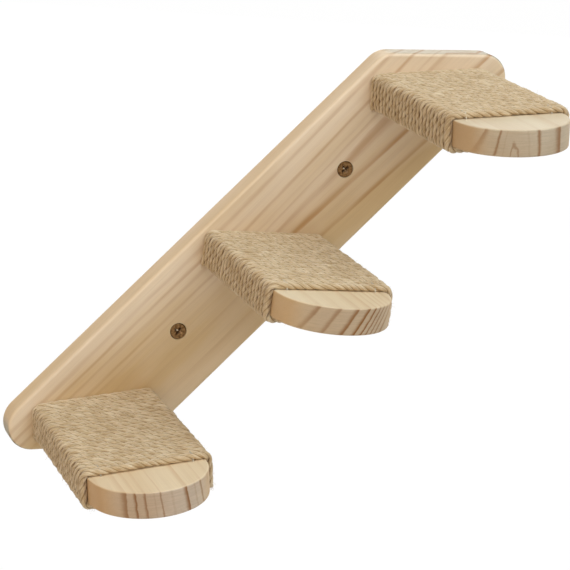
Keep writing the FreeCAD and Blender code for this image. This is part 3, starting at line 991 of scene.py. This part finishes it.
def screwTree(material):
    tree, given, result = newTree("wall screw", {
        "Pitch": "Float", "Ridge": "Float", "Recess": "Float", "Foot": "Float", "Depth": "Float",
        "Turn": "Vector", "Place": "Vector",
    })
    size = given.outputs

    # turned: the source is the screw's axis, and each of its points carries the radius there
    turned = addNode(tree, "GeometryNodeInputRadius")
    disc = addNode(
        tree, "GeometryNodeCurvePrimitiveCircle", {"Resolution": wallScrew["sides"], "Radius": 1.0},
        mode="RADIUS",
    )
    body = addNode(
        tree, "GeometryNodeCurveToMesh",
        {"Curve": size["Geometry"], "Profile Curve": disc, "Scale": turned, "Fill Caps": True},
    )

    # recess: two crossed wedges, narrow at the foot
    corner = math.sqrt(0.5)       # from a square's middle to its corner
    wide = addNode(tree, "ShaderNodeMath", {0: size["Recess"], 1: corner}, operation="MULTIPLY")
    narrow = addNode(tree, "ShaderNodeMath", {0: size["Foot"], 1: corner}, operation="MULTIPLY")
    wedge = addNode(
        tree, "GeometryNodeMeshCone",
        {"Vertices": 4, "Radius Bottom": wide, "Radius Top": narrow, "Depth": size["Depth"]},
        fill_type="NGON",
    )
    square = addNode(
        tree, "GeometryNodeTransform",
        {"Geometry": wedge, "Rotation": (0, 0, math.pi / 4), "Translation": (0, 0, -wallScrew["overcut"])},
    )
    for scale in ((1, wallScrew["arm"], 1), (wallScrew["arm"], 1, 1)):
        arm = addNode(tree, "GeometryNodeTransform", {"Geometry": square, "Scale": scale})
        body = addNode(
            tree, "GeometryNodeMeshBoolean", {"Mesh 1": body, "Mesh 2": arm},
            operation="DIFFERENCE", solver="EXACT",
        )
    # the recess's foot is painted pale: worn plating and a painted highlight
    here = addNode(tree, "GeometryNodeInputPosition")
    foot = addNode(tree, "ShaderNodeCombineXYZ", {2: size["Depth"]})
    off = addNode(tree, "ShaderNodeVectorMath", {0: here, 1: foot}, operation="DISTANCE")
    bareGlint, whole = wallScrew["rubbedGlint"]
    rubbedGlint = addNode(
        tree, "ShaderNodeMapRange", {0: off.outputs["Value"], 1: bareGlint, 2: whole, 3: 1.0, 4: 0.0}
    )
    worn = addNode(
        tree, "GeometryNodeStoreNamedAttribute", {"Geometry": body, "Name": "rubbedGlint", "Value": rubbedGlint},
        data_type="FLOAT", domain="FACE",
    )

    # thread: a square on its corner that runs round the core and dies out at both ends
    edge = addNode(
        tree, "GeometryNodeCurvePrimitiveCircle", {"Resolution": 4, "Radius": size["Ridge"]}, mode="RADIUS"
    )
    joined = addNode(tree, "GeometryNodeJoinGeometry", {0: worn})
    end = wallScrew["threadEnd"]
    full, fading = wallScrew["threadFull"]
    for low, high, first, last in wallScrew["threads"]:
        climb = (high - low) * mm
        rounds = addNode(tree, "ShaderNodeMath", {0: climb, 1: size["Pitch"]}, operation="DIVIDE")
        helix = addNode(tree, "GeometryNodeCurveSpiral", {
            "Resolution": 24, "Rotations": rounds, "Start Radius": first * mm, "End Radius": last * mm,
            "Height": climb,
        })
        upright = addNode(tree, "GeometryNodeSetCurveNormal", {"Curve": helix}, mode="Z_UP")
        sunk = addNode(
            tree, "GeometryNodeTransform", {"Geometry": upright, "Translation": (0, 0, low * mm)}
        )
        place = addNode(tree, "GeometryNodeSplineParameter")
        fade = addNode(
            tree, "ShaderNodeValToRGB", {0: place.outputs["Factor"]},
            stops=[(0.0, end), (full, 1.0), (fading, 1.0), (1.0, 1.0 if first == last else end)],
        )
        ridge = addNode(tree, "GeometryNodeCurveToMesh", {
            "Curve": sunk, "Profile Curve": edge, "Scale": fade, "Fill Caps": True,
        })
        tree.links.new(ridge.outputs[0], joined.inputs[0])

    driven = addNode(
        tree, "GeometryNodeTransform",
        {"Geometry": joined, "Translation": size["Place"], "Rotation": size["Turn"]},
    )
    smooth = addNode(tree, "GeometryNodeSetShadeSmooth", {"Geometry": driven})
    bend = addNode(tree, "GeometryNodeInputMeshEdgeAngle")
    hard = addNode(tree, "ShaderNodeMath", {0: bend, 1: wallScrew["hardEdge"]}, operation="GREATER_THAN")
    crisp = addNode(
        tree, "GeometryNodeSetShadeSmooth", {"Geometry": smooth, "Selection": hard, "Shade Smooth": False},
        domain="EDGE",
    )
    endTree(tree, result, crisp, material)
    return tree


def driveWallScrews():
    points = [(0, 0, deep * mm, wide * mm) for deep, wide in wallScrew["turned"]]
    axis = drawLines("screw axis", [points], "POLY")
    tree = screwTree(fastening["bronze_screw"])
    for name, turn in wallScrew["turns"].items():
        node = f"{name}_wall_screw"
        low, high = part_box(node)
        middle = (low + high) / 2
        screw = runTree(axis, tree, {
            "Pitch": wallScrew["pitch"], "Ridge": wallScrew["ridge"], "Recess": wallScrew["recess"],
            "Foot": wallScrew["foot"], "Depth": wallScrew["recessDepth"],
            "Turn": (-math.pi / 2, math.radians(turn), 0), "Place": (middle.x, low.y, middle.z),
        }, f"{name}WallScrew")
        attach(screw, node)
        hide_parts(node)
        print("screw:", screw.name, len(screw.data.polygons), "faces")
    bpy.data.objects.remove(axis)


driveWallScrews()

# Stage and light
studio = {
    "floorDrop": 0.45,
    "floorSize": 12.0,
    "paper": "#D8D8D8",
    "paperGlow": 1.02,            # the floor as the eye sees it, and how much of that covers its shadow
    "paperSeen": 0.97,
    "sky": 0.21,
    "skyColour": "#FFE2C2",
    "lampSize": 2.7,
    "lamps": {                    # place, watts and colour
        "keyRight": ((2.0, -2.0, 3.2), 95, "#E9F5FF"),
        "keyLeft": ((-2.0, -2.0, 3.2), 20, "#FFFFFF"),
        "top": ((0.0, -0.4, 4.0), 46, "#E9F5FF"),
        "front": ((0.0, -4.4, 2.4), 35, "#FFF6EC"),
        "left": ((-3.6, -1.6, 0.8), 36, "#FFE3C2"),
        "back": ((1.2, 4.4, 0.6), 80, "#FFFFFF"),
    },
}


def addLamp(name, place, watts, colour):
    lamp = bpy.data.lights.new(name, "AREA")
    lamp.shape = "SQUARE"
    lamp.size = studio["lampSize"]
    lamp.energy = watts
    lamp.color = srgb(colour)[:3]
    holder = bpy.data.objects.new(name, lamp)
    holder.location = place
    aim = Vector((0, cadBox[0][1] / 2, 0)) - Vector(place)
    holder.rotation_euler = aim.to_track_quat("-Z", "Y").to_euler()
    bpy.context.scene.collection.objects.link(holder)


def seenDirectly(tree, share):
    # share for what the eye sees straight, mirrored or through glass, 0 for light on the object
    ray = addNode(tree, "ShaderNodeLightPath")
    seen = ray.outputs["Is Camera Ray"]
    for kind in ("Is Glossy Ray", "Is Transmission Ray"):
        seen = addNode(tree, "ShaderNodeMath", {0: seen, 1: ray.outputs[kind]}, operation="MAXIMUM")
    return addNode(tree, "ShaderNodeMath", {0: seen, 1: share}, operation="MULTIPLY")


def buildStage():
    size = studio["floorSize"] / 2
    low = cadBox[0][2] - studio["floorDrop"]
    mesh = bpy.data.meshes.new("floor")
    corners = [(-size, -size, low), (size, -size, low), (size, size, low), (-size, size, low)]
    mesh.from_pydata(corners, [], [(0, 1, 2, 3)])
    floor = bpy.data.objects.new("floor", mesh)
    bpy.context.scene.collection.objects.link(floor)
    material, tree, shader = newMaterial("white paper", Roughness=0.9)
    shader.inputs["Base Color"].default_value = srgb(studio["paper"])
    glow = addNode(tree, "ShaderNodeEmission", {"Color": (1, 1, 1, 1), "Strength": studio["paperGlow"]})
    seen = seenDirectly(tree, studio["paperSeen"])
    blend = addNode(tree, "ShaderNodeMixShader", {0: seen, 1: shader, 2: glow})
    tree.links.new(blend.outputs[0], tree.nodes["Material Output"].inputs["Surface"])
    mesh.materials.append(material)

    world = bpy.data.worlds.new("studio")
    world.use_nodes = True
    bpy.context.scene.world = world
    tree = world.node_tree
    back = tree.nodes["Background"]
    seen = seenDirectly(tree, 1.0)
    light = [channel * studio["sky"] for channel in srgb(studio["skyColour"])[:3]]
    paper = addNode(tree, "ShaderNodeMix", {0: seen, 6: (*light, 1), 7: (1, 1, 1, 1)}, data_type="RGBA")
    tree.links.new(paper.outputs[2], back.inputs["Color"])
    for name, (place, watts, colour) in studio["lamps"].items():
        addLamp(name, place, watts, colour)


buildStage()

# Camera at the photograph's viewing angle
view = {
    "place": (-0.5200, -1.3871, 0.3962), "aim": (-0.0022, -0.0900, 0.0004),
    "roll": 4.67, "lens": 136.0, "sensor": 36.0, "shift": (-0.0173, -0.0114),
}
camera = bpy.data.objects.new("camera", bpy.data.cameras.new("camera"))
bpy.context.scene.collection.objects.link(camera)
look = (Vector(view["aim"]) - Vector(view["place"])).to_track_quat("-Z", "Y")
roll = Quaternion((0, 0, 1), math.radians(view["roll"]))
camera.location = view["place"]
camera.rotation_euler = (look @ roll).to_euler()
camera.data.lens = view["lens"]
camera.data.sensor_width = view["sensor"]
camera.data.shift_x, camera.data.shift_y = view["shift"]
bpy.context.scene.camera = camera
bpy.context.scene.view_settings.view_transform = "Standard"
print("stage: floor, lamps and camera")
